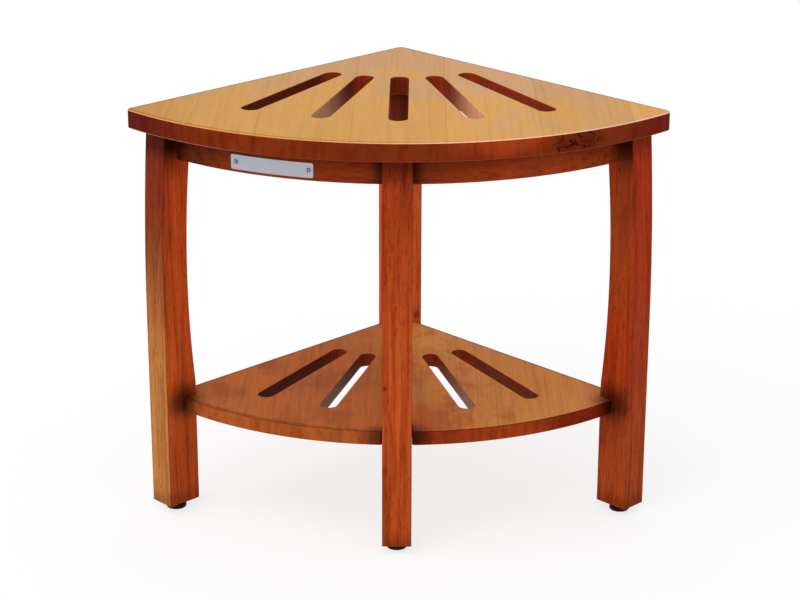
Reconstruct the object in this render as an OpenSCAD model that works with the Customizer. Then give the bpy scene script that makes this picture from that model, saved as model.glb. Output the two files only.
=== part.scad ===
// Corner shower bench: a slotted quarter-round seat and a slotted shelf on four legs,
// with two straight aprons at the walls, two curved aprons in front and screw-in feet.
// Sizes are in millimetres. The floor is Z = 0, the rear corner points along +Y,
// and the curved front faces -Y. Across a straight side, "along" runs from the
// rear corner to the tip and "in" runs from the wall towards the middle.

/* [Seat] */
// Straight side of the seat, from the rear corner to the tip
seat_side = 410; // [390:1:430]
// Depth of the seat, from the rear corner to the middle of the curved front
seat_depth = 419.5; // [410:0.5:440]
// Thickness of the seat board
seat_t = 20.5; // [17:0.5:24]
// Radius of the seat's upright corners
corner_r = 7; // [5:0.5:10]
// Rounding along the edges of the seat
seat_edge = 1.5; // [1:0.5:4]
// Height of the legs, from their lower ends to the seat
leg_h = 432.5; // [400:0.5:460]

/* [Drain slots] */
// Slots in each board
slot_count = 5; // [3:2:5]
// Angle from one slot to the next in the seat
seat_slot_step = 14.5; // [13:0.25:15.5]
// Angle from one slot to the next in the shelf
shelf_slot_step = 15; // [13:0.25:15.5]
// Width of a slot in the seat
seat_slot_w = 20; // [14:0.5:22]
// Distance from the seat's rear corner to its slots
seat_slot_start = 146; // [130:1:170]
// Distance from the middle slot to the seat's curved front
seat_slot_margin = 85.5; // [78:0.5:125]
// Width of a slot in the shelf
shelf_slot_w = 18; // [12:0.5:20]
// Distance from the shelf's rear corner to its slots
shelf_slot_start = 131; // [115:1:150]
// Distance from the middle slot to the shelf's curved front
shelf_slot_margin = 57; // [53:0.5:85]
// Bevel round the mouths of the slots
slot_bevel = 1; // [0.5:0.25:2]

/* [Legs] */
// Thickness of the three front legs
leg_t = 31.5; // [26:0.5:34]
// Width of the three front legs at the floor
leg_w = 41; // [36:1:46]
// Side of the square rear leg
rear_leg = 36.5; // [32:0.5:42]
// Seat overhang past the outer face of a front leg
overhang = 9; // [4:0.5:16]
// Gap from a wall to the legs
wall_gap = 12; // [6:0.5:18]
// Height at which the outer face starts to lean in
bow_z = 225; // [180:5:280]
// Radius of the leaning part of the outer face
bow_r = 2600; // [2200:50:3400]
// Height of the middle of the arch in the inner face
arch_z = 270; // [250:5:290]
// Radius of the arch in the inner face
arch_r = 1150; // [1100:25:1400]
// Depth of the arch in the inner face
arch_d = 7.2; // [5:0.1:9]
// Rounding along the long edges of the legs and aprons
frame_edge = 1; // [0.5:0.1:2]

/* [Aprons] */
// Thickness of the curved aprons
front_apron_t = 17; // [15:0.5:18]
// Height of the curved aprons
front_apron_h = 33; // [32:0.5:45]
// Distance from the seat's curved edge in to the curved aprons
front_setback = 33; // [30:0.5:34]
// Thickness of the straight aprons
back_apron_t = 16; // [14:0.5:18]
// Height of the straight aprons
back_apron_h = 29; // [28:0.5:40]
// Distance that the straight aprons stand in from the wall side of the legs
back_setback = 1.5; // [0:0.5:3]

/* [Shelf] */
// Height of the shelf's upper face above the lower ends of the legs
shelf_z = 126; // [100:1:160]
// Thickness of the shelf board
shelf_t = 16; // [14:0.5:18]
// Distance from a wall line of the seat in to the shelf
shelf_inset = 23; // [20:0.5:26]
// Length of shelf beside a side leg
side_lap = 17.4; // [12:0.2:22]
// Length of shelf beside the front leg
front_lap = 21; // [16:0.5:26]
// Rounding along the edges of the shelf
shelf_edge = 1; // [0.5:0.5:3]
// Gap between the shelf and the legs that it is cut round
notch_gap = 0.2; // [0.1:0.1:0.5]

/* [Feet] */
// Height of a foot pad under its leg
foot_h = 9; // [8:0.5:12]
// Diameter of a foot pad
pad_d = 22; // [18:0.5:26]
// Height of the wide base of a foot pad
pad_base = 5; // [4:0.5:6]
// Diameter of the neck of a foot pad
pad_neck_d = 15; // [12:0.5:17]
// Outer diameter of the foot's threaded stud
stud_d = 5.8; // [5:0.1:7.8]
// Length of stud above the lower end of the leg
stud_l = 22; // [20:1:26]
// Diameter of the threaded insert in the leg
insert_d = 9; // [8.5:0.5:11]
// Length of the threaded insert
insert_l = 13; // [10:1:15]

/* [Fixings] */
// Diameter of the dowels
dowel_d = 6; // [5:0.5:8]
// Length of dowel in a leg
dowel_in_leg = 12; // [8:0.5:12.5]
// Length of dowel in an apron
dowel_in_apron = 14; // [10:1:20]
// Distance between the two dowels of a joint
dowel_pitch = 14; // [10:0.5:16]
// Shank diameter of the wood screws
screw_d = 4; // [3:0.25:4.5]
// Head diameter of the wood screws
screw_head_d = 7.5; // [6:0.25:8]
// Head height of the wood screws
screw_head_h = 2.5; // [1.5:0.25:3]
// Length of the point of a wood screw
screw_point = 5; // [3:0.5:6]
// Length of apron that a seat screw passes through
seat_screw_grip = 20; // [16:0.5:24]
// Length of seat screw in the seat
seat_screw_bite = 12; // [9:0.5:13]
// Slant of the pocket screws
pocket_slant = 20; // [18:1:22]
// Distance from the joint to the head of a pocket screw
pocket_grip = 21; // [19:0.5:23]
// Length of pocket screw in a leg
pocket_bite = 14; // [10:0.5:15]
// Diameter of the holes that take a screw head
head_bore_d = 8.5; // [8.25:0.25:9.5]

/* [Plate] */
// Length of the bare metal plate, along its curve
plate_l = 94; // [80:1:100]
// Height of the bare metal plate
plate_h = 16; // [12:0.5:20]
// Thickness of the bare metal plate
plate_t = 1; // [0.8:0.1:2]
// Distance from the middle of the left curved apron to the plate's middle, towards the front leg
plate_shift = 2; // [0:0.5:6]
// Height of the plate's middle above the lower edge of the apron
plate_rise = 11.5; // [10:0.5:15]
// Distance from an end of the plate to its screw
plate_screw_inset = 5.5; // [4:0.5:8]
// Shank diameter of the plate screws
plate_screw_d = 2.4; // [2:0.1:3]
// Head diameter of the plate screws
plate_head_d = 5; // [4:0.25:6]
// Length of plate screw in the apron
plate_screw_l = 10; // [6:0.5:12]

/* [Hidden] */

// Segments of small round forms and of long arcs
round_fn = 48;
$fn = round_fn;
long_fn = 720;
bow_fn = 1440;
// Play round dowels, shanks and inserts, and the closer play round a foot's stud
play = 0.1;
stud_play = 0.05;
// Extra depth of a blind hole
spare = 1;
// Extra length of a cutter past the face that it leaves
past = 2;
// Half of the turn that the cutters of a leg's long arcs reach over
arc_reach = 10;

// The quarter turn and the half right angle that the plan is built on
square_turn = 90;
side_turn = 45;
diag = sqrt(2);

// Arc through both tips and the middle of the front: centre distance and radius
function arc_centre(side, depth) = (depth * depth - side * side) / (2 * depth - diag * side);
function arc_radius(side, depth) = depth - arc_centre(side, depth);
// Distance along a straight side at which a circle round the arc centre lies "in" from the wall
function along_at(radius, centre, in) =
    centre / diag + sqrt(radius * radius - (in - centre / diag) * (in - centre / diag));
// Turn, in degrees, that a length takes up along an arc
function turn_of(length, radius) = length / radius * 180 / PI;

// Plan of the seat
seat_c = arc_centre(seat_side, seat_depth);
seat_r = arc_radius(seat_side, seat_depth);
corner_cut = corner_r * (diag - 1);
// Rear corner of the seat, with the origin under the middle of the seat's box
apex_y = (seat_depth + corner_cut) / 2;
// Size of slabs and cutters that reach past the whole bench
far = 2 * seat_depth;

// Levels
leg_top = foot_h + leg_h;
front_apron_z = leg_top - front_apron_h;
back_apron_z = leg_top - back_apron_h;
shelf_low = foot_h + shelf_z - shelf_t;

// Legs: how far out their outer faces stand, and where their inner faces lie
side_reach = seat_side - overhang;
front_reach = seat_depth - overhang;
side_inner = side_reach - leg_w;
front_inner = front_reach - leg_w;
leg_in = wall_gap + leg_t;
rear_end = wall_gap + rear_leg;
side_foot_in = wall_gap + leg_t / 2;
rear_foot = wall_gap + rear_leg / 2;

// Curved aprons
apron_r = seat_r - front_setback;
apron_mid_r = apron_r - front_apron_t / 2;
apron_end_along = along_at(apron_mid_r, seat_c, leg_in);
apron_end_turn = atan2((apron_end_along - leg_in) / diag, (apron_end_along + leg_in) / diag - seat_c);
apron_start_turn = asin(leg_t / 2 / apron_mid_r);
apron_front_y = seat_c + sqrt(apron_mid_r * apron_mid_r - leg_t * leg_t / 4);

// Straight aprons
back_in = wall_gap + back_setback + back_apron_t / 2;
back_len = side_inner - rear_end;

// Shelf: its rear corner, straight side and depth
shelf_apex = shelf_inset * diag;
shelf_side = side_inner + side_lap - shelf_inset;
shelf_depth = front_inner + front_lap - shelf_apex;
shelf_c = arc_centre(shelf_side, shelf_depth);

// Lengths of the slots
seat_slot_l = seat_depth - seat_slot_start - seat_slot_margin;
shelf_slot_l = shelf_depth - shelf_slot_start - shelf_slot_margin;

// Heights of the two dowels and the two pocket screws of a joint
back_dowel_z = [for (s = [-1, 1]) back_apron_z + (back_apron_h + s * dowel_pitch) / 2];
front_dowel_z = [for (s = [-1, 1]) front_apron_z + (front_apron_h + s * dowel_pitch) / 2];
// Seat screws: distances from the ends of a straight apron and of a curved one, and their places
back_screw_margin = 60;
front_screw_margin = 48.5;
front_screw_turn = turn_of(front_screw_margin, apron_mid_r);
back_screws = [rear_end + back_screw_margin, side_inner - back_screw_margin];
front_screws = [apron_start_turn + front_screw_turn, apron_end_turn - front_screw_turn];
screw_z = leg_top - seat_screw_grip;
// Pocket screws: full length, and depth of the bore behind the head
pocket_l = pocket_grip + pocket_bite;
pocket_reach = 40;

// Plate: turns of its middle and of its screws round the arc centre
plate_turn = (apron_start_turn + apron_end_turn) / 2 - turn_of(plate_shift, apron_r);
plate_screw_turn = turn_of(plate_l / 2 - plate_screw_inset, apron_r);
plate_z = front_apron_z + plate_rise;
// Height of the plate screws' heads, and radius of the plate's corners
plate_head_h = 1.2;
plate_corner_r = 2;

// Foot pads: play to the leg, bevel of the base, and floor of the hole for the stud
pad_play = 0.3;
pad_bevel = 1;
pad_floor = 3;

// Colours
top_brown = [0.80, 0.58, 0.34];
shelf_brown = [0.66, 0.38, 0.20];
leg_brown = [0.58, 0.24, 0.11];
apron_brown = [0.46, 0.18, 0.10];
pale_wood = [0.84, 0.70, 0.48];
steel = [0.72, 0.73, 0.75];
brass = [0.78, 0.63, 0.30];
black = [0.06, 0.06, 0.06];

// Frames. In a side frame X runs along the straight side and -Y runs in from the wall.
module bench() { translate([0, apex_y, 0]) children(); }
module right_side() { rotate([0, 0, -side_turn]) children(); }
module left_side() { mirror([1, 0, 0]) right_side() children(); }
// In the front frame X runs from the rear corner to the front
module to_front() { rotate([0, 0, -square_turn]) children(); }
// X becomes the way to a leg, and the open side of a pocket faces -X of the side frame
module at_apron_end() { rotate([square_turn, 0, square_turn]) children(); }

// Boards

// Section of a board, from its middle out to an edge with rounded arrises
module board_section(reach, thick, ease) {
    square([reach - ease, thick]);
    translate([0, ease]) square([reach, thick - 2 * ease]);
    for (y = [ease, thick - ease]) translate([reach - ease, y]) circle(ease, $fn = round_fn);
}

// Half space in from a wall, with the same rounded edge
module wall_slab(thick, ease) {
    rotate([square_turn, 0, square_turn])
        translate([-far, 0, -ease])
            linear_extrude(far) board_section(far, thick, ease);
}

// Quarter-round board: a turned disc cut by both walls
module quarter_board(side, depth, thick, ease) {
    intersection() {
        translate([0, -arc_centre(side, depth), 0])
            rotate_extrude($fn = long_fn) board_section(arc_radius(side, depth), thick, ease);
        right_side() wall_slab(thick, ease);
        left_side() wall_slab(thick, ease);
    }
}

// Waste outside the rounded rear corner
module rear_corner_waste(thick) {
    right_side() translate([0, 0, -past]) linear_extrude(thick + 2 * past) difference() {
        translate([-past, -corner_r]) square(corner_r + past);
        translate([corner_r, -corner_r]) circle(corner_r);
    }
}

// Waste outside the rounded tip of a straight side, in the side frame
module tip_waste(thick) {
    middle = [along_at(seat_r - corner_r, seat_c, corner_r), -corner_r];
    hub = [seat_c / diag, -seat_c / diag];
    outward = (middle - hub) / norm(middle - hub);
    translate([0, 0, -past]) linear_extrude(thick + 2 * past) difference() {
        polygon([middle, [middle[0], past], [middle[0] + 2 * corner_r, past],
                 hub + (seat_r + past) * outward]);
        translate(middle) circle(corner_r);
    }
}

// Slot with round ends and bevelled mouths, from start to start + length along X
module slot(start, length, width, thick) {
    ends = [start + width / 2, start + length - width / 2];
    translate([ends[0], -width / 2, -past]) cube([ends[1] - ends[0], width, thick + 2 * past]);
    for (x = ends) translate([x, 0, -past]) cylinder(h = thick + 2 * past, d = width);
    for (low = [0, 1]) translate([0, 0, low * thick]) mirror([0, 0, low]) {
        for (x = ends) translate([x, 0, -past])
            cylinder(h = past + slot_bevel, d1 = width + 2 * (slot_bevel + past), d2 = width);
        translate([ends[0], 0, 0]) rotate([square_turn, 0, square_turn]) linear_extrude(ends[1] - ends[0])
            polygon([[-width / 2 - slot_bevel - past, -past], [width / 2 + slot_bevel + past, -past],
                     [width / 2, slot_bevel], [-width / 2, slot_bevel]]);
    }
}

// Fan of slots round the rear corner of a board
module slot_fan(start, length, width, step, thick) {
    for (i = [0:slot_count - 1])
        rotate([0, 0, -square_turn + (i - (slot_count - 1) / 2) * step])
            slot(start, length, width, thick);
}

// Fixings

// Screw with its head under Z = 0 and its point at Z = length
module wood_screw(length) {
    translate([0, 0, -screw_head_h]) cylinder(h = screw_head_h, d = screw_head_d);
    cylinder(h = length - screw_point, d = screw_d);
    translate([0, 0, length - screw_point]) cylinder(h = screw_point, d1 = screw_d, d2 = screw_d / 4);
}

// Hole for such a screw, and one with a head bore that is open below
module screw_hole(length) { cylinder(h = length + spare, d = screw_d + 2 * play); }
module screw_pocket(length, head_depth) {
    screw_hole(length);
    translate([0, 0, -head_depth]) cylinder(h = head_depth, d = head_bore_d);
}

// Slanted frame of a pocket screw: the joint is at X = 0, the leg at +X and the pocket opens below
module pocket_line() {
    rotate([0, -pocket_slant, 0]) translate([-pocket_grip, 0, 0]) rotate([0, square_turn, 0]) children();
}

// Places of the pocket screws, in the bench frame
module at_apron_pockets() {
    for (z = front_dowel_z) translate([apron_end_along, -leg_in, z]) at_apron_end() pocket_line() children();
}
module at_side_shelf_pocket() {
    translate([side_inner, -(shelf_inset + leg_in) / 2, shelf_low + shelf_t / 2]) pocket_line() children();
}
module at_front_shelf_pocket() {
    to_front() translate([front_inner, 0, shelf_low + shelf_t / 2]) pocket_line() children();
}
module at_rear_shelf_pocket() {
    right_side() translate([rear_end, -rear_foot, shelf_low + shelf_t / 2])
        rotate([0, 0, 2 * square_turn]) pocket_line() children();
}

// Places of the seat screws
module at_back_seat_screws() { for (x = back_screws) translate([x, -back_in, screw_z]) children(); }
module at_front_seat_screws() {
    for (a = front_screws) translate([0, -seat_c, screw_z]) rotate([0, 0, a - square_turn])
        translate([apron_mid_r, 0, 0]) children();
}

// Dowel across a joint at X = 0, longer on the apron's side
module dowel(play_r = 0, play_l = 0) {
    translate([-dowel_in_apron - play_l, 0, 0]) rotate([0, square_turn, 0])
        cylinder(h = dowel_in_apron + dowel_in_leg + 2 * play_l, d = dowel_d + 2 * play_r);
}
module at_side_dowels() { for (z = back_dowel_z) translate([side_inner, -back_in, z]) children(); }
module at_rear_dowels() {
    for (z = back_dowel_z) translate([rear_end, -back_in, z]) rotate([0, 0, 2 * square_turn]) children();
}
module at_front_dowels() {
    for (z = front_dowel_z) translate([leg_t / 2, -apron_front_y, z])
        rotate([0, 0, 2 * square_turn]) children();
}
module dowel_hole() { dowel(play, spare); }

// Legs

// Side view of a front leg: upright outer face that leans in above, and an arch in the inner face
module leg_side_view(reach) {
    difference() {
        union() {
            translate([reach - leg_w, 0]) square([leg_w, bow_z]);
            intersection() {
                translate([reach - leg_w, bow_z]) square([leg_w + past, leg_h - bow_z]);
                translate([reach - bow_r, bow_z]) circle(bow_r, $fn = bow_fn);
            }
        }
        translate([reach - leg_w + arch_d - arch_r, arch_z]) circle(arch_r, $fn = bow_fn);
    }
}

// Waste outside the two rounded arrises of an edge face at X = 0, for wood on its -X side
module arris_waste() {
    for (far_side = [0, 1]) translate([0, far_side * leg_t]) mirror([0, far_side]) difference() {
        translate([-frame_edge, -past]) square(frame_edge + past);
        translate([-frame_edge, frame_edge]) circle(frame_edge, $fn = round_fn);
    }
}
module upright_arris_waste(low, high) {
    translate([0, high, 0]) rotate([square_turn, 0, 0]) linear_extrude(high - low) arris_waste();
}
// Rounded arrises of a leg, in its side view: along the outer face, which is upright and then bowed,
// and along the arch
module leg_waste(reach) {
    translate([reach, 0, 0]) upright_arris_waste(-past, bow_z);
    translate([reach - bow_r, bow_z, 0])
        rotate_extrude(angle = arc_reach, $fn = bow_fn) translate([bow_r, 0]) arris_waste();
    translate([reach - leg_w + arch_d - arch_r, arch_z, 0]) rotate([0, 0, -arc_reach])
        rotate_extrude(angle = 2 * arc_reach, $fn = bow_fn)
            translate([arch_r, 0]) mirror([1, 0]) arris_waste();
}
module leg_blank(reach) {
    translate([0, 0, foot_h]) rotate([square_turn, 0, 0]) difference() {
        linear_extrude(leg_t) leg_side_view(reach);
        leg_waste(reach);
    }
}
// Plan of the rear leg
module rear_leg_plan() {
    core = rear_leg - 2 * frame_edge;
    translate([frame_edge, 0]) square([core, rear_leg]);
    translate([0, frame_edge]) square([rear_leg, core]);
    for (x = [0, core], y = [0, core]) translate([x + frame_edge, y + frame_edge]) circle(frame_edge);
}

// Hole in the lower end of a leg for the insert and the stud
module foot_hole() {
    translate([0, 0, foot_h - past]) cylinder(h = insert_l + past, d = insert_d + 2 * play);
    translate([0, 0, foot_h]) cylinder(h = stud_l + spare, d = stud_d + 2 * pad_play);
}
module at_side_foot() { translate([side_reach - leg_w / 2, -side_foot_in, 0]) children(); }
module at_front_foot() { translate([0, -(front_reach - leg_w / 2), 0]) children(); }
module at_back_foot() { right_side() translate([rear_foot, -rear_foot, 0]) children(); }

module side_leg() {
    difference() {
        translate([0, -wall_gap, 0]) leg_blank(side_reach);
        at_side_foot() foot_hole();
        at_side_dowels() dowel_hole();
        at_apron_pockets() screw_hole(pocket_l);
        at_side_shelf_pocket() screw_hole(pocket_l);
    }
}
module right_leg() { color(leg_brown) bench() right_side() side_leg(); }
module left_leg() { color(leg_brown) bench() left_side() side_leg(); }
module front_leg() {
    color(leg_brown) bench() difference() {
        to_front() translate([0, leg_t / 2, 0]) leg_blank(front_reach);
        at_front_foot() foot_hole();
        at_front_dowels() dowel_hole();
        mirror([1, 0, 0]) at_front_dowels() dowel_hole();
        at_front_shelf_pocket() screw_hole(pocket_l);
    }
}
module back_leg() {
    color(leg_brown) bench() difference() {
        right_side() translate([wall_gap, -rear_end, foot_h]) linear_extrude(leg_h) rear_leg_plan();
        at_back_foot() foot_hole();
        right_side() at_rear_dowels() dowel_hole();
        left_side() at_rear_dowels() dowel_hole();
        at_rear_shelf_pocket() screw_hole(pocket_l);
        mirror([1, 0, 0]) at_rear_shelf_pocket() screw_hole(pocket_l);
    }
}

// Seat and shelf

module seat_top() {
    color(top_brown) bench() difference() {
        translate([0, 0, leg_top]) difference() {
            quarter_board(seat_side, seat_depth, seat_t, seat_edge);
            rear_corner_waste(seat_t);
            right_side() tip_waste(seat_t);
            left_side() tip_waste(seat_t);
            slot_fan(seat_slot_start, seat_slot_l, seat_slot_w, seat_slot_step, seat_t);
        }
        for (m = [0, 1]) mirror([m, 0, 0]) {
            right_side() at_back_seat_screws() screw_hole(seat_screw_grip + seat_screw_bite);
            at_front_seat_screws() screw_hole(seat_screw_grip + seat_screw_bite);
        }
    }
}

// Cut-outs of the shelf round the legs
module side_notch() {
    translate([side_inner - notch_gap, -leg_in - notch_gap, -past])
        cube([leg_w, leg_t + notch_gap, shelf_t + 2 * past]);
}
module shelf_notches() {
    right_side() side_notch();
    left_side() side_notch();
    right_side() translate([wall_gap, -rear_end - notch_gap, -past])
        cube([rear_leg + notch_gap, rear_leg + notch_gap, shelf_t + 2 * past]);
    to_front() translate([front_inner - notch_gap, -leg_t / 2 - notch_gap, -past])
        cube([leg_w, leg_t + 2 * notch_gap, shelf_t + 2 * past]);
}
module shelf() {
    color(shelf_brown) bench() difference() {
        translate([0, 0, shelf_low]) difference() {
            translate([0, -shelf_apex, 0]) difference() {
                quarter_board(shelf_side, shelf_depth, shelf_t, shelf_edge);
                slot_fan(shelf_slot_start, shelf_slot_l, shelf_slot_w, shelf_slot_step, shelf_t);
            }
            shelf_notches();
        }
        right_side() at_side_shelf_pocket() screw_pocket(pocket_grip, pocket_reach);
        left_side() at_side_shelf_pocket() screw_pocket(pocket_grip, pocket_reach);
        at_front_shelf_pocket() screw_pocket(pocket_grip, pocket_reach);
        for (m = [0, 1]) mirror([m, 0, 0]) at_rear_shelf_pocket() screw_pocket(pocket_grip, pocket_reach);
    }
}

// Aprons

// Section of an apron, with rounded lower arrises
module apron_section(thick, height) {
    translate([0, frame_edge]) square([thick, height - frame_edge]);
    translate([frame_edge, 0]) square([thick - 2 * frame_edge, height]);
    for (x = [frame_edge, thick - frame_edge]) translate([x, frame_edge]) circle(frame_edge, $fn = round_fn);
}

module back_apron() {
    difference() {
        translate([rear_end, -back_in - back_apron_t / 2, back_apron_z])
            rotate([square_turn, 0, square_turn])
                linear_extrude(back_len) apron_section(back_apron_t, back_apron_h);
        at_side_dowels() dowel_hole();
        at_rear_dowels() dowel_hole();
        at_back_seat_screws() screw_pocket(seat_screw_grip, back_apron_h);
    }
}
module right_back_apron() { color(apron_brown) bench() right_side() back_apron(); }
module left_back_apron() { color(apron_brown) bench() left_side() back_apron(); }

// Curved apron between the front leg and the right leg
module front_apron() {
    difference() {
        translate([0, -seat_c, front_apron_z]) rotate_extrude($fn = long_fn)
            translate([apron_r - front_apron_t, 0]) apron_section(front_apron_t, front_apron_h);
        // Everything left of the front leg's face, and everything past the right leg's face
        translate([-far + leg_t / 2, -far, 0]) cube([far, 2 * far, 2 * leg_top]);
        right_side() translate([-far, -leg_in, 0]) cube([2 * far, 2 * far, 2 * leg_top]);
        at_front_dowels() dowel_hole();
        right_side() at_apron_pockets() screw_pocket(pocket_grip, pocket_reach);
        at_front_seat_screws() screw_pocket(seat_screw_grip, front_apron_h);
    }
}
module right_front_apron() { color(apron_brown) bench() front_apron(); }
module left_front_apron() {
    color(apron_brown) bench() difference() {
        mirror([1, 0, 0]) front_apron();
        at_plate_screws() translate([-plate_screw_l - spare, 0, 0]) rotate([0, square_turn, 0])
            cylinder(h = plate_screw_l + spare + past, d = plate_screw_d + 2 * play, $fn = 24);
    }
}

module apron_dowels() {
    color(pale_wood) bench() for (m = [0, 1]) mirror([m, 0, 0]) {
        right_side() at_side_dowels() dowel();
        right_side() at_rear_dowels() dowel();
        at_front_dowels() dowel();
    }
}
module apron_screws() {
    color(steel) bench() for (m = [0, 1]) mirror([m, 0, 0])
        right_side() at_apron_pockets() wood_screw(pocket_l);
}
module shelf_screws() {
    color(steel) bench() {
        for (m = [0, 1]) mirror([m, 0, 0]) {
            right_side() at_side_shelf_pocket() wood_screw(pocket_l);
            at_rear_shelf_pocket() wood_screw(pocket_l);
        }
        at_front_shelf_pocket() wood_screw(pocket_l);
    }
}
module seat_screws() {
    color(steel) bench() for (m = [0, 1]) mirror([m, 0, 0]) {
        right_side() at_back_seat_screws() wood_screw(seat_screw_grip + seat_screw_bite);
        at_front_seat_screws() wood_screw(seat_screw_grip + seat_screw_bite);
    }
}

// Plate on the left curved apron. X points out of the apron at the plate's middle height.
module at_plate_turn(turn) {
    translate([0, -seat_c, plate_z]) rotate([0, 0, -square_turn - turn])
        translate([apron_r, 0, 0]) children();
}
module at_plate_screws() {
    for (side = [-1, 1]) at_plate_turn(plate_turn + side * plate_screw_turn) children();
}
// Upright outline of the plate, unrolled, with rounded corners
module plate_outline() {
    square([plate_l - 2 * plate_corner_r, plate_h], center = true);
    square([plate_l, plate_h - 2 * plate_corner_r], center = true);
    for (x = [-1, 1], y = [-1, 1])
        translate([x * (plate_l / 2 - plate_corner_r), y * (plate_h / 2 - plate_corner_r)])
            circle(plate_corner_r);
}
module bare_plate() {
    color(steel) bench() difference() {
        intersection() {
            translate([0, -seat_c, plate_z - plate_h]) rotate_extrude($fn = long_fn)
                translate([apron_r, 0]) square([plate_t, 2 * plate_h]);
            at_plate_turn(plate_turn) rotate([square_turn, 0, square_turn])
                translate([0, 0, -plate_l / 4]) linear_extrude(plate_l / 2) plate_outline();
        }
        at_plate_screws() translate([-past, 0, 0]) rotate([0, square_turn, 0])
            cylinder(h = plate_t + 2 * past, d = plate_screw_d + 2 * play, $fn = 24);
    }
}
module plate_screws() {
    color(steel) bench() at_plate_screws() {
        translate([-plate_screw_l, 0, 0]) rotate([0, square_turn, 0])
            cylinder(h = plate_screw_l + plate_t + play, d = plate_screw_d, $fn = 24);
        translate([plate_t + play, 0, 0]) rotate([0, square_turn, 0])
            cylinder(h = plate_head_h, d = plate_head_d);
    }
}

// Feet

module insert() {
    translate([0, 0, foot_h]) difference() {
        cylinder(h = insert_l, d = insert_d);
        translate([0, 0, -past]) cylinder(h = insert_l + 2 * past, d = stud_d + 2 * stud_play);
    }
}
module foot_inserts() {
    color(brass) bench() {
        right_side() at_side_foot() insert();
        left_side() at_side_foot() insert();
        at_front_foot() insert();
        at_back_foot() insert();
    }
}
module stud() { translate([0, 0, pad_floor]) cylinder(h = foot_h - pad_floor + stud_l, d = stud_d); }
// Turned pad: a wide base with bevelled edges, a neck, and a hole that holds the stud
module pad() {
    bore_r = stud_d / 2 + stud_play;
    top = foot_h - pad_play;
    rotate_extrude() polygon([
        [0, 0], [pad_d / 2 - pad_bevel, 0], [pad_d / 2, pad_bevel], [pad_d / 2, pad_base - pad_bevel],
        [pad_d / 2 - pad_bevel, pad_base], [pad_neck_d / 2, pad_base + pad_bevel / 2], [pad_neck_d / 2, top],
        [bore_r, top], [bore_r, pad_floor], [0, pad_floor]]);
}
module right_foot_stud() { color(steel) bench() right_side() at_side_foot() stud(); }
module left_foot_stud() { color(steel) bench() left_side() at_side_foot() stud(); }
module front_foot_stud() { color(steel) bench() at_front_foot() stud(); }
module back_foot_stud() { color(steel) bench() at_back_foot() stud(); }
module right_foot_pad() { color(black) bench() right_side() at_side_foot() pad(); }
module left_foot_pad() { color(black) bench() left_side() at_side_foot() pad(); }
module front_foot_pad() { color(black) bench() at_front_foot() pad(); }
module back_foot_pad() { color(black) bench() at_back_foot() pad(); }

seat_top();
shelf();
back_leg();
left_leg();
right_leg();
front_leg();
left_back_apron();
right_back_apron();
left_front_apron();
right_front_apron();
apron_dowels();
apron_screws();
shelf_screws();
seat_screws();
bare_plate();
plate_screws();
foot_inserts();
back_foot_stud();
left_foot_stud();
right_foot_stud();
front_foot_stud();
back_foot_pad();
left_foot_pad();
right_foot_pad();
front_foot_pad();
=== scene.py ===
"""Corner shower bench: wooden boards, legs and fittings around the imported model, on a pale floor."""

import math

import bmesh
import bpy
import numpy as np
from mathutils import Matrix, Vector
from mathutils.geometry import tessellate_polygon


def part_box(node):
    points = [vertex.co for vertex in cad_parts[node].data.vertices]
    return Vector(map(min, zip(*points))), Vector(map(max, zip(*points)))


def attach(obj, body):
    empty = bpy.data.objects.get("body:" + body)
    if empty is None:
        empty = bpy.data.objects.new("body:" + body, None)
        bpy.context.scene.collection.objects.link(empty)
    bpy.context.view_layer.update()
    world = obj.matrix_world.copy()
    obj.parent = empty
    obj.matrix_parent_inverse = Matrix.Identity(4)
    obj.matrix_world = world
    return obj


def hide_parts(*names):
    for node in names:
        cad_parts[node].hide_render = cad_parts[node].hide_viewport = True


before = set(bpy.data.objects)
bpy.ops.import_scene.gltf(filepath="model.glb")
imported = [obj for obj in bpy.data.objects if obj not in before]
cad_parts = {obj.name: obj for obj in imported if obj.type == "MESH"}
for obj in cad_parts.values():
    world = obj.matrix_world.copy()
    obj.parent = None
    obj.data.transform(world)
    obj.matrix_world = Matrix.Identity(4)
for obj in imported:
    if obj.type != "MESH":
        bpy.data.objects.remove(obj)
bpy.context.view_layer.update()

bl_info = {
    "name": "Corner shower bench",
    "version": (1, 0, 0),
    "blender": (4, 5, 0),
    "location": "View3D > Sidebar > Bench",
    "description": "Builds the wooden boards, legs, feet and plate of a corner shower bench",
    "category": "Add Mesh",
}

BODY = "root"
FEET = ("back_foot", "left_foot", "right_foot", "front_foot")

# Turns of the right straight side and of the front, in degrees, seen from the rear corner
SIDE_TURN = -45.0
FRONT_TURN = -90.0

# Millimetres in a metre: meshes are in metres, shaders in millimetres
MM = 1000.0


def size_of(node):
    """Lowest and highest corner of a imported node, as arrays in metres."""
    low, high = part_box(node)
    return np.array(low), np.array(high)


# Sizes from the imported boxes. A corner rounded by r falls short of the sharp one by r * (sqrt(2) - 1)

SEAT_LOW, SEAT_HIGH = size_of("seat_top")
SHELF_LOW, SHELF_HIGH = size_of("shelf")
LEG_LOW, LEG_HIGH = size_of("front_leg")
REAR_LOW, REAR_HIGH = size_of("back_leg")
LEG_THICKNESS, LEG_WIDTH = (LEG_HIGH - LEG_LOW)[:2]
LEG_EDGE = 0.001
LEG_CORNER = LEG_EDGE * (math.sqrt(2) - 1)
REAR_LEG = (REAR_HIGH[0] - REAR_LOW[0] + 2 * LEG_CORNER) / math.sqrt(2)
CORNER_RADIUS = 0.007

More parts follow.
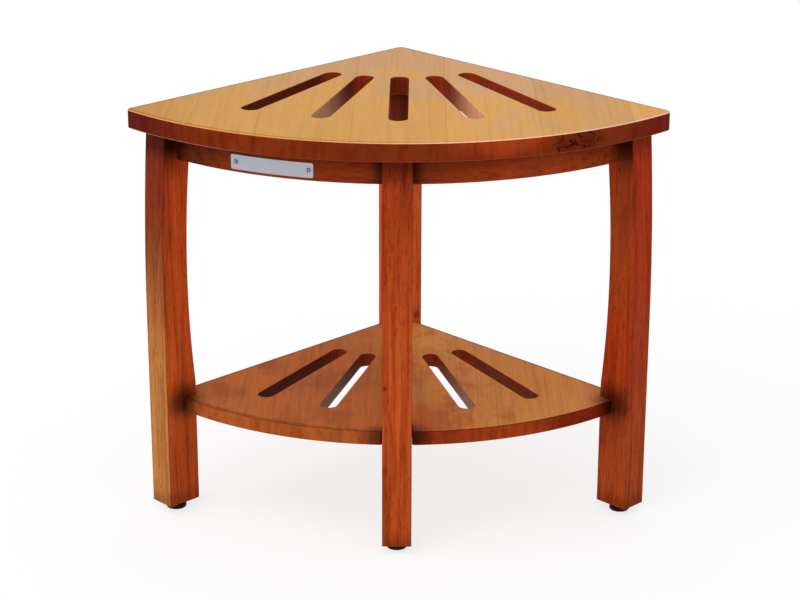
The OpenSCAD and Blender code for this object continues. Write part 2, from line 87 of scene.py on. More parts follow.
# Y of the rear corner where the seat's straight sides meet, and what follows from it
APEX = SEAT_HIGH[1] + CORNER_RADIUS * (math.sqrt(2) - 1)
SEAT_DEPTH = APEX - SEAT_LOW[1]
FRONT_REACH = APEX - LEG_LOW[1]
OVERHANG = SEAT_DEPTH - FRONT_REACH
WALL_GAP = (APEX - REAR_HIGH[1] - LEG_CORNER) / math.sqrt(2)

# Radius of the bore in a leg's lower end, and how far it runs past the insert
FOOT_BORE = 0.0046
BORE_END = 0.001

# Gap between a stud and the hole in its pad, and thickness of the plate
STUD_GAP = 0.00005
PLATE_THICKNESS = 0.001


def length_setting(name, description, default):
    """A length in metres."""
    return bpy.props.FloatProperty(name=name, description=description, default=default, unit="LENGTH")


def angle_setting(name, description, degrees):
    """An angle, given in degrees."""
    return bpy.props.FloatProperty(
        name=name, description=description, default=math.radians(degrees), subtype="ANGLE")


def colour_setting(name, description, default):
    """A colour in linear light."""
    return bpy.props.FloatVectorProperty(
        name=name, description=description, default=default, subtype="COLOR")


class BenchSizes(bpy.types.PropertyGroup):
    """Sizes of the boards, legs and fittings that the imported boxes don't give."""

    seat_side: length_setting("Straight side", "Rear corner to tip of the seat", 0.410)
    seat_edge: length_setting("Seat edge", "Rounding along the edges of the seat", 0.0015)
    slot_edge: length_setting("Slot edge", "Rounding round the mouths of the slots", 0.0012)
    seat_slot_step: angle_setting("Seat slot step", "Turn between slots in the seat", 14.5)
    seat_slot_width: length_setting("Seat slot width", "Width of a slot in the seat", 0.020)
    seat_slot_start: length_setting("Seat slot start", "Rear corner to the slots", 0.146)
    seat_slot_length: length_setting("Seat slot length", "Length of a slot in the seat", 0.188)
    shelf_slot_step: angle_setting("Shelf slot step", "Turn between slots in the shelf", 15.0)
    shelf_slot_width: length_setting("Shelf slot width", "Width of a slot in the shelf", 0.018)
    shelf_slot_start: length_setting("Shelf slot start", "Shelf corner to the slots", 0.131)
    shelf_slot_length: length_setting("Shelf slot length", "Length of a slot in the shelf", 0.170)
    shelf_inset: length_setting("Shelf inset", "Wall line of the seat to the shelf", 0.023)
    side_lap: length_setting("Side lap", "Shelf beside a side leg", 0.0174)
    front_lap: length_setting("Front lap", "Shelf beside the front leg", 0.021)
    shelf_edge: length_setting("Shelf edge", "Rounding along the edges of the shelf", 0.001)
    notch_gap: length_setting("Notch gap", "Shelf to the legs it is cut round", 0.0002)
    bow_start: length_setting("Bow start", "Height on a leg where its outer face leans in", 0.225)
    bow_radius: length_setting("Bow radius", "Radius of the leaning outer face", 2.6)
    arch_height: length_setting("Arch height", "Height on a leg of the arch's middle", 0.270)
    arch_radius: length_setting("Arch radius", "Radius of the arch in the inner face", 1.15)
    arch_depth: length_setting("Arch depth", "Depth of the arch in the inner face", 0.0072)
    pad_base: length_setting("Pad base", "Height of the wide part of a foot pad", 0.005)
    pad_neck: length_setting("Pad neck", "Diameter of a foot pad's neck", 0.015)
    pad_floor: length_setting("Pad floor", "Rubber below the stud in a foot pad", 0.003)
    thread_pitch: length_setting("Thread pitch", "Rise of the studs' thread in one turn", 0.001)
    thread_depth: length_setting("Thread depth", "Depth of the studs' thread", 0.00045)
    apron_setback: length_setting("Apron setback", "Seat's front edge to the curved aprons", 0.033)
    plate_screw_inset: length_setting("Plate screw inset", "End of the plate to its screw", 0.0055)
    leg_edge: length_setting("Leg edge", "Rounding along the arrises of the legs", LEG_EDGE)


class BenchFinish(bpy.types.PropertyGroup):
    """Colours of the stains, some with painted light and shade, and of the plate, and the light of the floor.
    """

    # Honey: the seat top's stain, partly a painted sheen of the white surroundings
    honey: colour_setting("Honey", "Top of the seat", (0.66, 0.345, 0.095))
    pink_patch_and_sheen: colour_setting("Pink honey", "Pinker patches of the seat's top", (0.60, 0.335, 0.155))
    shelf_brown: colour_setting("Shelf brown", "Top of the shelf", (0.50, 0.135, 0.031))
    shelf_pale: colour_setting("Pale shelf", "Lighter patches of the shelf", (0.66, 0.255, 0.06))
    edge_red: colour_setting("Edge red", "Edges of the seat and the shelf", (0.205, 0.027, 0.0045))
    edge_bright: colour_setting("Bright edge", "Brightest stave end on the seat's edge", (0.36, 0.045, 0.009))
    # Edge tan: a painted sheen of the light from the left on the shelf's left edge
    edge_sheen_tan: colour_setting("Edge tan", "Paler left edge of the shelf", (0.36, 0.085, 0.018))
    slot_dark: colour_setting("Dark slot", "Walls of the slots", (0.17, 0.022, 0.006))
    # Pale slot: painted light at the near ends of the slots' walls
    slot_lit_pale: colour_setting("Pale slot", "Pale near end of the fourth slot", (0.78, 0.42, 0.24))
    leg_red: colour_setting("Leg red", "Upper ends of the legs", (0.33, 0.042, 0.008))
    leg_orange: colour_setting("Leg orange", "Middle of the legs", (0.49, 0.082, 0.015))
    leg_brown: colour_setting("Leg brown", "Lower ends of the legs", (0.43, 0.066, 0.011))
    # Leg tan: a painted sheen of the light from the left on the left leg's outer face
    leg_sheen_tan: colour_setting("Leg tan", "Worn outer face of the left leg", (0.40, 0.155, 0.037))
    # Apron brown: the aprons' stain, darkened as painted shade under the seat
    apron_brown: colour_setting("Apron brown", "Aprons under the seat", (0.20, 0.028, 0.005))
    under_brown: colour_setting("Under brown", "Lower faces of the boards", (0.33, 0.075, 0.016))
    steel: colour_setting("Steel", "Bare plate", (0.47, 0.49, 0.54))
    floor: bpy.props.FloatProperty(
        name="Floor", description="Own light of the pale floor", default=0.74, min=0.0, max=1.0,
        subtype="FACTOR")


def sizes():
    """The size settings of this scene."""
    return bpy.context.scene.bench_sizes


def finishes():
    """The colour settings of this scene."""
    return bpy.context.scene.bench_finish


# Plan geometry, in metres from the rear corner, with the front towards -Y


def rays(degrees):
    """Unit vectors (cos t, sin t) for turns t in degrees."""
    turn = np.radians(degrees)
    return np.stack([np.cos(turn), np.sin(turn)], -1)


def arc(centre, radius, start, end, steps, hollow=False):
    """Points centre + radius * (cos t, sin t) for t from start to end degrees, and the normals out of the
    wood. On a hollow arc the wood lies outside the circle, so the normals point at its centre."""
    ray = rays(np.linspace(start, end, steps + 1))
    return np.asarray(centre) + radius * ray, -ray if hollow else ray


def chain(*arcs):
    """One line through several arcs, with straight links between them: points and normals."""
    return np.concatenate([a[0] for a in arcs]), np.concatenate([a[1] for a in arcs])


def mirrored_loop(half):
    """Closed loop from its right half, which runs from the front to the rear, and that half mirrored in X."""
    off_axis = np.abs(half[0][:, 0]) > 1e-7
    return tuple(np.concatenate([right, (right[off_axis] * (-1, 1))[::-1]]) for right in half)


def side_point(along, inward):
    """Plan point at a distance along the right straight side and inward from it."""
    return np.array([along - inward, -along - inward]) / math.sqrt(2)


def along_at(radius, centre, inward):
    """Distance along the straight side at which a circle about the arc's centre lies inward from it."""
    offset = centre / math.sqrt(2)
    return offset + math.sqrt(radius ** 2 - (inward - offset) ** 2)


def front_arc(side, depth):
    """Arc through both tips and the front: its centre's distance from the corner, and its radius."""
    centre = (depth ** 2 - side ** 2) / (2 * depth - math.sqrt(2) * side)
    return centre, depth - centre


def seat_arc():
    """Front arc of the seat."""
    return front_arc(sizes().seat_side, SEAT_DEPTH)


def apron_arc():
    """Outer face of the curved aprons: the seat's arc, set back."""
    centre, radius = seat_arc()
    return centre, radius - sizes().apron_setback


def side_reach():
    """Rear corner to the outer face of a side leg, along the straight side."""
    return sizes().seat_side - OVERHANG


def turn_of(point, centre):
    """Direction in degrees, from 0 to 360, of a point seen from a centre."""
    return math.degrees(math.atan2(point[1] - centre[1], point[0] - centre[0])) % 360


def seat_outline():
    """Quarter round: front arc, tips and rear corner rounded alike."""
    centre, radius = seat_arc()
    hub = (0, -centre)
    tip = side_point(along_at(radius - CORNER_RADIUS, centre, CORNER_RADIUS), CORNER_RADIUS)
    tip_turn = turn_of(tip, hub)
    return mirrored_loop(chain(
        arc(hub, radius, 270, tip_turn, 90),
        arc(tip, CORNER_RADIUS, tip_turn, 405, 12),
        arc(side_point(CORNER_RADIUS, CORNER_RADIUS), CORNER_RADIUS, 45, 90, 8)))


def shelf_plan():
    """Distances from the seat's rear corner to the shelf's corner and arc centre, and the arc's radius."""
    s = sizes()
    apex = s.shelf_inset * math.sqrt(2)
    inner = side_reach() - LEG_WIDTH
    depth = FRONT_REACH - LEG_WIDTH + s.front_lap - apex
    centre, radius = front_arc(inner + s.side_lap - s.shelf_inset, depth)
    return apex, apex + centre, radius


def shelf_outline():
    """Smaller quarter round, cut round the four legs. Outer corners are slightly rounded, inner ones nearly
    sharp."""
    s = sizes()
    apex, centre, radius = shelf_plan()
    hub = (0, -centre)
    soft = 0.0024
    tight = 0.0006
    rear = WALL_GAP + REAR_LEG + s.notch_gap
    side = side_reach() - LEG_WIDTH - s.notch_gap
    deep = WALL_GAP + LEG_THICKNESS + s.notch_gap
    half = LEG_THICKNESS / 2 + s.notch_gap
    back = -(FRONT_REACH - LEG_WIDTH - s.notch_gap)
    inner = radius - soft
    notch = np.array([half + soft, -centre - math.sqrt(inner ** 2 - (half + soft) ** 2)])
    shoulder = side_point(along_at(inner, centre, deep + soft), deep + soft)
    notch_turn = turn_of(notch, hub)
    shoulder_turn = turn_of(shoulder, hub)
    return mirrored_loop(chain(
        arc((half - tight, back - tight), tight, 90, 0, 4, hollow=True),
        arc(notch, soft, 180, notch_turn, 8),
        arc(hub, radius, notch_turn, shoulder_turn, 72),
        arc(shoulder, soft, shoulder_turn, 405, 8),
        arc(side_point(side + tight, deep - tight), tight, 225, 135, 4, hollow=True),
        arc(side_point(side - soft, s.shelf_inset + soft), soft, 315, 405, 8),
        arc(side_point(rear + soft, s.shelf_inset + soft), soft, 45, 135, 8),
        arc(side_point(rear - tight, rear - tight), tight, -45, -90, 3, hollow=True)))


def slot_loop(apex, turn, start, length, width):
    """Slot with round ends that points away from a corner. It runs clockwise, with normals into the slot."""
    direction = rays(turn)
    corner = np.array([0, -apex])
    near = corner + direction * (start + width / 2)
    far = corner + direction * (start + length - width / 2)
    points, normals = chain(
        arc(far, width / 2, turn - 90, turn + 90, 20),
        arc(near, width / 2, turn + 90, turn + 270, 20))
    return points[::-1], -normals[::-1]


def slot_fan(apex, step, start, length, width):
    """Five slots about a corner, a step apart, the middle one towards the front."""
    turns = [FRONT_TURN + i * math.degrees(step) for i in range(-2, 3)]
    return [slot_loop(apex, turn, start, length, width) for turn in turns]


# Mesh building


class Shell:
    """Points and faces of one closed piece, gathered patch by patch."""

    def __init__(self):
        self.points = []
        self.faces = []
        self.count = 0

    def add(self, points):
        """Adds points, in any grid, and returns their numbers in the same grid."""
        flat = np.asarray(points, float).reshape(-1, 3)
        numbers = np.arange(self.count, self.count + len(flat)).reshape(np.shape(points)[:-1])
        self.points.append(flat)
        self.count += len(flat)
        return numbers

    def skin(self, numbers, closed=True):
        """Four-sided faces between the rows of a grid. A closed grid joins its last column to its first."""
        if closed:
            numbers = np.concatenate([numbers, numbers[:, :1]], 1)
        quads = np.stack([numbers[:-1, :-1], numbers[:-1, 1:], numbers[1:, 1:], numbers[1:, :-1]], -1)
        self.faces += quads.reshape(-1, 4).tolist()

    def face(self, numbers):
        """One flat face through a ring of points."""
        self.faces.append(np.asarray(numbers).ravel().tolist())

    def rod(self, points):
        """A grid of points skinned and closed at its first and last ring."""
        grid = self.add(points)
        self.skin(grid)
        self.face(grid[0])
        self.face(grid[-1])

    def cap(self, rings):
        """Triangles across a flat outline with holes."""
        everything = np.concatenate(self.points)
        triangles = tessellate_polygon([[Vector(p) for p in everything[ring]] for ring in rings])
        numbers = np.concatenate(rings)
        self.faces += numbers[np.array(triangles)].tolist()

    def piece(self, name, finish):
        """The mesh object: doubles merged, normals outward, smooth with flats kept flat."""
        mesh = bpy.data.meshes.new(name)
        mesh.from_pydata(np.concatenate(self.points), [], self.faces)
        work = bmesh.new()
        work.from_mesh(mesh)
        bmesh.ops.remove_doubles(work, verts=work.verts, dist=1e-7)
        bmesh.ops.recalc_face_normals(work, faces=work.faces)
        work.to_mesh(mesh)
        work.free()
        mesh.polygons.foreach_set("use_smooth", np.ones(len(mesh.polygons), bool))
        mesh.materials.append(finish)
        piece = bpy.data.objects.new(name, mesh)
        bpy.context.scene.collection.objects.link(piece)
        flats = piece.modifiers.new("flats", "WEIGHTED_NORMAL")
        flats.weight = 100
        return piece


def raised(plan, heights):
    """Points (x, y, z) from a grid of plan points (x, y) whose rows lie at the given heights."""
    level = np.broadcast_to(np.asarray(heights)[:, None, None], plan.shape[:2] + (1,))
    return np.concatenate([plan, level], 2)


def edge_profile(low, high, ease, steps=6):
    """Inset and height up an edge: a quarter round, a straight wall and another quarter round."""
    ray = rays(np.linspace(-90, 0, steps + 1))
    inset = ease - ease * ray[:, 0]
    lower = low + ease + ease * ray[:, 1]
    return np.concatenate([inset, inset[::-1]]), np.concatenate([lower, (low + high - lower)[::-1]])


def rim(loop, profile):
    """Grid of points up the edge of a board: each level is the loop, drawn in along its normals by the
    inset."""
    points, normals = loop
    inset, height = profile
    return raised(points - normals * inset[:, None, None] + (0, APEX), height)


def board_shell(outline, slots, low, high, ease, mouth, pockets=()):
    """A board: the rim of its outline, the rims of its slots and two flat faces. Pockets open below only."""
    shell = Shell()
    outer = shell.add(rim(outline, edge_profile(low, high, ease)))
    inner = [shell.add(rim(loop, edge_profile(low, high, mouth, 3))) for loop in slots]
    for numbers in [outer] + inner:
        shell.skin(numbers)
    shell.cap([outer[-1]] + [numbers[-1] for numbers in inner])
    mouths = []
    for pocket in pockets:
        numbers = shell.add(pocket)
        shell.skin(numbers, closed=False)
        shell.face(numbers[1])
        mouths.append(numbers[0])
    shell.cap([outer[0]] + [numbers[0] for numbers in inner] + mouths)
    return shell


def pocket_patch(joint, turn, thickness, bore=0.0085, slant=20.0, grip=0.021, steps=24):
    """Slanted screw pocket in the lower face of a board, as two rows of points: its mouth and its end.
    Round the bore's axis the mouth lies where each straight line of the bore meets the lower face."""
    lean = math.radians(slant)
    drop = thickness / 2 - grip * math.sin(lean)
    rise = bore / 2 * math.cos(lean)
    open_turn = math.acos(max(-1.0, min(1.0, -drop / rise)))
    phi = np.linspace(-open_turn, open_turn, steps + 1)
    run = (drop + rise * np.cos(phi)) / math.sin(lean)
    travel = -np.stack([grip + run, np.full_like(run, grip)])
    along = travel * math.cos(lean) - bore / 2 * np.cos(phi) * math.sin(lean)
    up = travel * math.sin(lean) + rise * np.cos(phi)
    across = np.broadcast_to(bore / 2 * np.sin(phi), along.shape)
    way = rays(turn)
    left = np.array([-way[1], way[0]])
    plan = np.asarray(joint[:2]) + along[..., None] * way + across[..., None] * left
    return np.concatenate([plan, (joint[2] + up)[..., None]], 2)


def post_section(inner, outer, half, radius, inset, steps=4):
    """Rounded rectangle between inner and outer faces at each level, drawn in by the inset, anticlockwise."""
    ray = rays(np.concatenate([np.linspace(a, a + 90, steps + 1) for a in (-90, 0, 90, 180)]))
    outside = np.repeat([1, 1, 0, 0], steps + 1)
    upside = np.repeat([-1, 1, 1, -1], steps + 1)
    reach = (radius - inset)[:, None]
    x = inner[:, None] + radius + outside * (outer - inner - 2 * radius)[:, None] + reach * ray[:, 0]
    y = upside * (half - radius) + reach * ray[:, 1]
    return np.stack([x, y], 2)


def to_bench(points, turn, flip=False):
    """Turns points (x, y, z) about the rear corner and sets them in the bench. The left side is mirrored."""
    c, s = rays(turn)
    x = points[..., 0] * c - points[..., 1] * s
    y = points[..., 0] * s + points[..., 1] * c
    return np.stack([-x if flip else x, y + APEX, points[..., 2]], -1)


def leg_levels(foot, top, ease, steps=90):
    """Heights up a leg and the inset at each: a quarter round at the lower end, then even steps."""
    ray = rays(np.linspace(90, 0, 5))
    straight = np.linspace(foot + ease, top, steps + 1)[1:]
    height = np.concatenate([foot + ease - ease * ray[:, 1], straight])
    return height, np.concatenate([ease - ease * ray[:, 0], 0 * straight])


def leg_shell(inner, outer, middle, half, turn, flip, height, inset):
    """A leg: the section swept up its curved faces, a top, and a lower end bored for the foot."""
    plan = post_section(inner, outer, half, sizes().leg_edge, inset)
    grid = raised(plan + (0, middle), height)
    shell = Shell()
    outside = shell.add(to_bench(grid, turn, flip))
    shell.skin(outside)
    shell.face(outside[-1])
    axis = np.array([(inner[0] + outer[0]) / 2, middle])
    ray = grid[0, :, :2] - axis
    ray /= np.linalg.norm(ray, axis=1)[:, None]
    bore_top = size_of("foot_inserts")[1][2] + BORE_END
    hole = raised(np.stack([axis + FOOT_BORE * ray] * 2), (grid[0, 0, 2], bore_top))
    well = shell.add(to_bench(hole, turn, flip))
    shell.skin(np.stack([outside[0], well[0]]))
    shell.skin(well)
    shell.face(well[1])
    return shell


def lathe(profile, centre, steps=48):
    """Grid of points on a turned form: each (radius, height) carried round a vertical axis."""
    radius, height = np.asarray(profile, float).T
    ray = rays(np.linspace(0, 360, steps, endpoint=False))
    return raised(np.asarray(centre)[:2] + radius[:, None, None] * ray, height)


def threaded(box, pitch, depth, sides=24, rows=8):
    """Grid of points on a threaded rod that fills a box. Height over pitch, less the share of a turn, gives
    the place on a triangular wave of the thread's depth. Both ends taper to the root."""
    low, high = box
    length = high[2] - low[2]
    radius = (high[0] - low[0]) / 2
    up = np.linspace(0, length, round(length / pitch * rows) + 1)
    turn = np.arange(sides) / sides
    wave = np.abs((up[:, None] / pitch - turn) % 1.0 * 2 - 1)
    taper = np.clip(np.minimum(up, length - up) / pitch, 0, 1)[:, None]
    reach = radius - depth * np.maximum(1 - wave, 1 - taper)
    return raised((low + high)[:2] / 2 + reach[..., None] * rays(360 * turn), low[2] + up)


def quarter(centre, radius, start, end, steps=5):
    """Profile points (radius, height) on a rounded edge, from start to end degrees."""
    return arc(centre, radius, start, end, steps)[0]


def pad_profile(radius, top, bore):
    """Foot pad, from the slightly hollow underside round the wide base and the neck into the stud's hole."""
    s = sizes()
    soft = 0.0012
    hollow = 0.0004
    middle = 0.002
    neck = s.pad_neck / 2
    return np.vstack([
        [(middle, hollow), (radius - 3 * soft, hollow), (radius - 2.2 * soft, 0.0)],
        quarter((radius - soft, soft), soft, -90, 0),
        quarter((radius - soft, s.pad_base - soft), soft, 0, 90),
        quarter((neck + soft / 2, s.pad_base + soft / 2), soft / 2, 270, 180, 3),
        quarter((neck - hollow, top - hollow), hollow, 0, 90, 3),
        [(bore, top), (bore, s.pad_floor)]])


def plate_screw(turn, height):
    """Button-head screw with a six-sided socket, as a grid. It points out of the curved apron at a turn from
    the front, in degrees towards the left. The socket's radius is divided by the cosine of the turn from the
    middle of the nearest side, which makes its sides flat."""
    head = 0.0025
    crown = 0.0017
    shank = 0.0012
    seat = PLATE_THICKNESS + 0.00005
    brim = seat + 0.0002
    tip = (0.0004, -0.010)
    taper = (shank, -0.0085)
    socket = 0.0009
    socket_floor = (0.00027, 0.0013)
    dome = (crown, brim) + quarter((0, 0), 1.0, 0, 90, 6) * (head - crown, 0.001)
    mouth = (socket, dome[-1, 1])
    profile = np.vstack([[tip, taper, (shank, seat), (head, seat)], dome, [mouth, socket_floor]])
    grid = lathe(profile, (0, 0))
    around = np.degrees(np.arctan2(grid[0, :, 1], grid[0, :, 0]))
    grid[-2:, :, :2] /= np.cos(np.radians((around + 30) % 60 - 30))[:, None]
    centre, radius = apron_arc()
    out = np.array([-math.sin(math.radians(turn)), -math.cos(math.radians(turn)), 0.0])
    side = np.array([out[1], -out[0], 0.0])
    up = np.array([0.0, 0.0, 1.0])
    origin = np.array([0, APEX - centre, height]) + radius * out
    return origin + grid[..., :1] * side + grid[..., 1:2] * up + grid[..., 2:] * out


def plate_screw_places():
    """Turns of the two plate screws from the front, in degrees, and their height."""
    low, high = size_of("bare_plate")
    radius = apron_arc()[1]
    inset = math.degrees(sizes().plate_screw_inset / radius)
    left = math.degrees(math.asin(-low[0] / (radius + PLATE_THICKNESS))) - inset
    right = math.degrees(math.asin(-high[0] / radius)) + inset
    return (left, right), (low[2] + high[2]) / 2


# Shader building


def arithmetic(operation, swapped=False):
    """A method that adds a Math node for a value and another number, or for the two swapped."""
    return lambda self, other: self.finish.math(operation, *((other, self) if swapped else (self, other)))


class Value:
    """A number or colour that a shader works out. Arithmetic on numbers adds Math nodes."""

    def __init__(self, finish, socket):
        self.finish = finish
        self.socket = socket

    def __abs__(self):
        return self.finish.math("ABSOLUTE", self)

    __add__ = __radd__ = arithmetic("ADD")
    __mul__ = __rmul__ = arithmetic("MULTIPLY")
    __sub__ = arithmetic("SUBTRACT")
    __rsub__ = arithmetic("SUBTRACT", swapped=True)
    __truediv__ = arithmetic("DIVIDE")


class Finish:
    """One material under construction, with a Principled shader."""

    def __init__(self, name):
        self.material = bpy.data.materials.new(name)
        self.material.use_nodes = True
        self.tree = self.material.node_tree
        self.tree.nodes.clear()

    def node(self, kind, settings=None, inputs=None, output=0):
        """Adds a node: settings first, then the values or links of its sockets. Returns an output, if any."""
        made = self.tree.nodes.new("ShaderNode" + kind)
        for key, value in (settings or {}).items():
            setattr(made, key, value)
        for key, value in (inputs or {}).items():
            if isinstance(value, Value):
                self.tree.links.new(value.socket, made.inputs[key])
            else:
                made.inputs[key].default_value = value
        return Value(self, made.outputs[output]) if made.outputs else None

    def done(self, inputs):
        """Makes the shader from the values or links of its sockets, and returns the material."""
        shader = self.node("BsdfPrincipled", None, inputs)
        self.node("OutputMaterial", None, {"Surface": shader})
        return self.material

    def math(self, operation, *values):
        """Arithmetic on numbers."""
        return self.node("Math", {"operation": operation}, dict(enumerate(values)))

    def vector(self, operation, *values):
        """Arithmetic on vectors. A length and a dot product give a number, which is output 1."""
        output = int(operation in ("LENGTH", "DOT_PRODUCT"))
        return self.node("VectorMath", {"operation": operation}, dict(enumerate(values)), output)

    def smooth(self, value, low, high):
        """0 below low, 1 above high, with a smooth step between."""
        settings = {"interpolation_type": "SMOOTHSTEP"}
        return self.node("MapRange", settings, {"Value": value, "From Min": low, "From Max": high})

    def fade(self, value, low, high):
        """1 below low, 0 above high, with a smooth step between."""
        return 1 - self.smooth(value, low, high)

    def mix(self, factor, first, second, blend="MIX"):
        """Colour mix of two colours by a factor."""
        settings = {"data_type": "RGBA", "blend_type": blend}
        return self.node("Mix", settings, {0: factor, 6: opaque(first), 7: opaque(second)}, 2)

    def tinted(self, colour, tint, factor):
        """The colour multiplied by a tint, as far as the factor goes."""
        return self.mix(factor, colour, tint, "MULTIPLY")

    def noise(self, vector, size, detail=2.0, rough=0.5):
        """Noise whose patches have about the given size on each axis, in millimetres."""
        shrunk = self.vector("MULTIPLY", vector, [1 / s for s in size])
        inputs = {"Vector": shrunk, "Scale": 1.0, "Detail": detail, "Roughness": rough}
        return self.node("TexNoise", None, inputs)

    def bump(self, height, strength, distance):
        """Normal of a surface that a height from 0 to 1 raises by a distance in metres."""
        return self.node("Bump", None, {"Strength": strength, "Distance": distance, "Height": height})

    def place(self, turn=(0, 0, 0)):
        """Object coordinates in millimetres, turned so that Y runs with the grain and X across it."""
        inputs = {"Vector": self.node("TexCoord", output=3), "Scale": (MM, MM, MM), "Rotation": turn}
        return self.node("Mapping", {"vector_type": "POINT"}, inputs)

    def split(self, vector):
        """X, Y and Z of a vector."""
        made = self.node("SeparateXYZ", None, {0: vector}).socket.node
        return [Value(self, socket) for socket in made.outputs]

    def join(self, x, y, z):
        """The vector of X, Y and Z."""
        return self.node("CombineXYZ", None, {0: x, 1: y, 2: z})

    def reach(self, x, y, middle):
        """Distance in the plan from the point of the bench's middle line whose Y is middle."""
        return self.vector("LENGTH", self.join(x, y - middle, 0.0))

    def near(self, place, centre, radii, core=0.0):
        """1 at a centre, falling smoothly to 0 at the ellipsoid of those radii round it, in millimetres.
        Inside the core, a share of the radii, it stays 1."""
        away = self.vector("MULTIPLY", self.vector("SUBTRACT", place, centre), [1 / r for r in radii])
        return self.fade(self.vector("LENGTH", away), core, 1.0)

    def along(self, direction):
        """How far the surface's normal points along a direction, from -1 to 1."""
        return self.vector("DOT_PRODUCT", self.node("NewGeometry", output=1), direction)

    def facing(self, direction, low=0.35, high=0.85):
        """1 on surfaces that face a direction, 0 on those that are turned away from it."""
        return self.smooth(self.along(direction), low, high)

    def arris(self, *directions):
        """1 on the rounded arrises between flat faces that look along the directions, 0 on those faces."""
        most = 0.0
        for direction in directions:
            most = self.math("MAXIMUM", most, abs(self.along(direction)))
        return self.fade(most, 0.80, 0.97)


def opaque(colour):
    """A colour with full alpha, or a Value as it is."""
    return colour if isinstance(colour, Value) else tuple(colour)[:3] + (1.0,)


def shaded(colour, share):
    """A colour made lighter or darker."""
    return tuple(share * v for v in colour)


UP = (0.0, 0.0, 1.0)
DOWN = (0.0, 0.0, -1.0)
FRONT = (0.0, -1.0, 0.0)
RIGHT = (1.0, 0.0, 0.0)
FRONT_LEFT = (-0.7071, -0.7071, 0.0)
FRONT_RIGHT = (0.7071, -0.7071, 0.0)
DARK_GRAIN = (0.55, 0.40, 0.34)
PALE_GRAIN = (1.18, 1.28, 1.3)
BROWN_GRAIN = (0.80, 0.86, 0.95)
RED_GRAIN = (1.05, 0.95, 0.86)
KNOT_AND_SHADE_TINT = (0.13, 0.14, 0.17)
LINE_TINT = (0.30, 0.22, 0.20)


def wood(name, paint, turn=(0, 0, 0), stave=0.0, seam=0.0, ring=13.0, figure=0.5, fleck=0.5, stripe=0.5,
         joint_shade=(), clear=None, knots=()):
    """Stained wood. The paint function gives the colour, stain with some painted light and shade, from the
    place on the bench in millimetres.
    Y of the turned space runs with the grain. Warped rings, stripes, fibres and short pores darken or lighten
    that colour, in glued staves of their own tone where a stave's width and the place of one seam are given.
    Knots of stain and painted shade at the joints come last."""
    f = Finish(name)
    bench = f.place()
    x, y, z = f.split(f.place(turn))
    if stave:
        strip = (x - seam) / stave
        tone = f.node("TexWhiteNoise", {"noise_dimensions": "1D"}, {"W": f.math("FLOOR", strip)})
        part = f.math("FRACT", strip)
        joint = f.fade(f.math("MINIMUM", part, 1 - part) * stave, 0.2, 1.6)
        # Each stave is cut from another place in the wood
        x = x + tone * 90
        y = y + tone * 700
    grain = f.join(x, y, z)
    drift = f.noise(grain, (26, 110, 26), 2.0)
    bands = f.noise(grain, (6.5, 240, 6.5), 2.0, 0.6)
    warp = f.noise(grain, (45, 260, 45), 2.0)
    ringed = f.math("FRACT", (x + warp * 80 + z * 0.4) / ring)
    late = f.smooth(abs(ringed - 0.5) * 2, 0.55, 1.0)
    strength = f.smooth(f.noise(grain, (30, 200, 30), 1.0), 0.42, 0.62)
    fibre = f.noise(grain, (2.2, 70, 2.2), 3.0, 0.65)
    pore = f.smooth(f.noise(grain, (1.7, 13, 1.7), 2.0, 0.6), 0.55, 0.66)
    colour = paint(f, bench)
    for tint, factor in (
            (BROWN_GRAIN, f.smooth(drift, 0.5, 0.64) * stripe),
            (RED_GRAIN, f.fade(drift, 0.36, 0.5) * stripe),
            (PALE_GRAIN, f.smooth(bands, 0.52, 0.68) * stripe),
            (DARK_GRAIN, f.fade(bands, 0.34, 0.48) * stripe),
            (DARK_GRAIN, late * strength * figure),
            (DARK_GRAIN, f.smooth(fibre, 0.48, 0.66) * figure),
            (DARK_GRAIN, pore * fleck)):
        colour = f.tinted(colour, tint, factor)
    if stave:
        red, green, blue = 0.94 + tone * 0.1, 0.92 + tone * 0.12, 0.88 + tone * 0.18
        own = f.node("CombineColor", None, {"Red": red, "Green": green, "Blue": blue})
        colour = f.tinted(f.tinted(colour, DARK_GRAIN, joint * 0.2), own, 1.0)
    return f.done({
        "Base Color": with_knots_and_shade(f, bench, colour, joint_shade, clear, knots),
        "Roughness": 0.45 + fibre * 0.1 + pore * 0.15 - late * 0.04,
        "Normal": f.bump(fibre * 0.5 + late * 0.3 - pore, 0.25, 0.00012),
        "Specular IOR Level": 0.03})


def with_knots_and_shade(f, bench, colour, joint_shade, clear, knots):
    """The colour with knots, each a centre and radii, and with painted shade at the joints, each a centre,
    radii and strength, alike on both sides of the bench, but not on faces that look the clear way."""
    for centre, radii in knots:
        ragged = f.near(bench, centre, radii) + f.noise(bench, (3, 3, 5), 2.0) * 0.5
        colour = f.tinted(colour, KNOT_AND_SHADE_TINT, f.smooth(ragged, 0.35, 1.3) * 0.7)
    if joint_shade:
        x, y, z = f.split(bench)
        folded = f.join(abs(x), y, z)
        shown = 1 - f.facing(clear) if clear else 1.0
        for centre, radii, share in joint_shade:
            # painted shade where the seat, aprons and shelf meet the legs
            colour = f.tinted(colour, KNOT_AND_SHADE_TINT, f.near(folded, centre, radii, 0.15) * shown * share)
    return colour


def metal(name, colour, rough):
    """Brushed metal: fine lines along X with a few duller patches."""
    f = Finish(name)
    place = f.place()
    lines = f.noise(place, (40, 0.35, 0.35), 3.0, 0.6)
    patch = f.noise(place, (14, 14, 14), 3.0)
    return f.done({
        "Base Color": f.mix(f.smooth(lines, 0.3, 0.8) * 0.4, colour, shaded(colour, 0.75)),
        "Roughness": rough + lines * 0.12 + patch * 0.1,
        "Normal": f.bump(lines, 0.18, 0.00005),
        "Metallic": 1.0})


